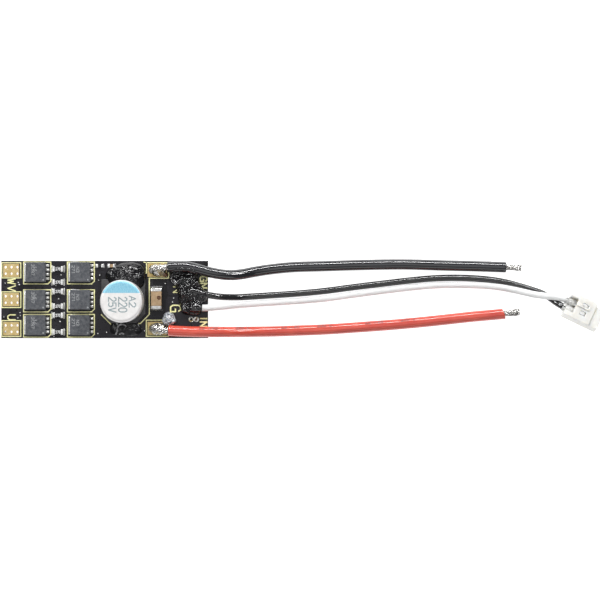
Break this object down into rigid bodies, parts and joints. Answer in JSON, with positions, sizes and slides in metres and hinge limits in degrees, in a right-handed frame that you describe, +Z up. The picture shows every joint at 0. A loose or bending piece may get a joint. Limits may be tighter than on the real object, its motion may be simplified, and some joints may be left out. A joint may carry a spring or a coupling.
{
  "type": "electronic speed controller",
  "caption": "Bare-board brushless motor speed controller with power transistors, a can capacitor, solder-on phase pads, battery leads and a signal pair with a small connector.",
  "frame": {"origin": "middle of the circuit board's length and width, on the surface that the controller lies on", "axes": "+X from the phase pads towards the battery and signal leads; +Y towards the negative lead; +Z up, away from the surface, on the can capacitor's side"},
  "size_m": [0.0905, 0.0118, 0.008],
  "materials": {
    "solder_mask": "satin near-black solder mask over glass-fibre laminate",
    "gold_pad": "satin gold-plated copper",
    "moulded_epoxy": "fine matte moulded epoxy, dark blue-grey",
    "tinned_metal": "bright tinned metal",
    "resistor_glaze": null,
    "ceramic": "satin tan fired ceramic",
    "can_aluminium": "satin drawn aluminium with a light blue polarity mark on top",
    "bung_rubber": "matte rubber",
    "winding": "wound foil and paper",
    "base_plastic": "matte black moulded plastic",
    "solder": "bright uneven solder with brown flux",
    "black_adhesive": "wet-looking black adhesive with wrinkles",
    "clear_adhesive": "cloudy hot-melt adhesive",
    "black_silicone": "satin silicone insulation",
    "red_silicone": "satin silicone insulation",
    "black_insulation": "glossy thin insulation",
    "white_insulation": "satin thin insulation",
    "tinned_copper": "twisted tinned copper strands",
    "white_nylon": "slightly translucent moulded nylon",
    "silkscreen_ink": "matte pale yellow printed ink",
    "print_ink": "thin printed marks"
  },
  "bodies": {
    "root": {"circuit_board": "solder_mask", "battery_pads": "gold_pad", "signal_pads": "gold_pad", "phase_pad_c": "gold_pad", "phase_pad_b": "gold_pad", "phase_pad_a": "gold_pad", "mosfet_c_low": "moulded_epoxy", "mosfet_c_low_leads": "tinned_metal", "mosfet_c_high": "moulded_epoxy", "mosfet_c_high_leads": "tinned_metal", "mosfet_b_low": "moulded_epoxy", "mosfet_b_low_leads": "tinned_metal", "mosfet_b_high": "moulded_epoxy", "mosfet_b_high_leads": "tinned_metal", "mosfet_a_low": "moulded_epoxy", "mosfet_a_low_leads": "tinned_metal", "mosfet_a_high": "moulded_epoxy", "mosfet_a_high_leads": "tinned_metal", "gate_resistor_c_low": "resistor_glaze", "gate_resistor_c_high": "resistor_glaze", "gate_resistor_b_low": "resistor_glaze", "gate_resistor_b_high": "resistor_glaze", "gate_resistor_a_low": "resistor_glaze", "gate_resistor_a_high": "resistor_glaze", "gate_resistor_terminals": "tinned_metal", "filter_resistor": "resistor_glaze", "filter_capacitor": "ceramic", "filter_terminals": "tinned_metal", "capacitor_can": "can_aluminium", "capacitor_bung": "bung_rubber", "capacitor_winding": "winding", "capacitor_base": "base_plastic", "capacitor_leads": "tinned_metal", "bypass_capacitor": "ceramic", "bypass_terminals": "tinned_metal", "negative_solder": "solder", "positive_solder": "solder", "signal_solder": "solder", "cable_adhesive": "black_adhesive", "capacitor_adhesive": "black_adhesive", "clear_adhesive": "clear_adhesive", "microcontroller": "moulded_epoxy", "microcontroller_contacts": "tinned_metal", "gate_driver": "moulded_epoxy", "gate_driver_contacts": "tinned_metal", "voltage_regulator": "moulded_epoxy", "voltage_regulator_leads": "tinned_metal", "bootstrap_diodes": "moulded_epoxy", "bootstrap_capacitors": "ceramic", "decoupling_capacitors": "ceramic", "sense_resistors": "resistor_glaze", "underside_terminals": "tinned_metal", "negative_lead": "black_silicone", "positive_lead": "red_silicone", "ground_lead": "black_insulation", "signal_lead": "white_insulation", "negative_conductor": "tinned_copper", "positive_conductor": "tinned_copper", "connector_housing": "white_nylon", "connector_terminals": "tinned_metal"}
  },
  "joints": []
}
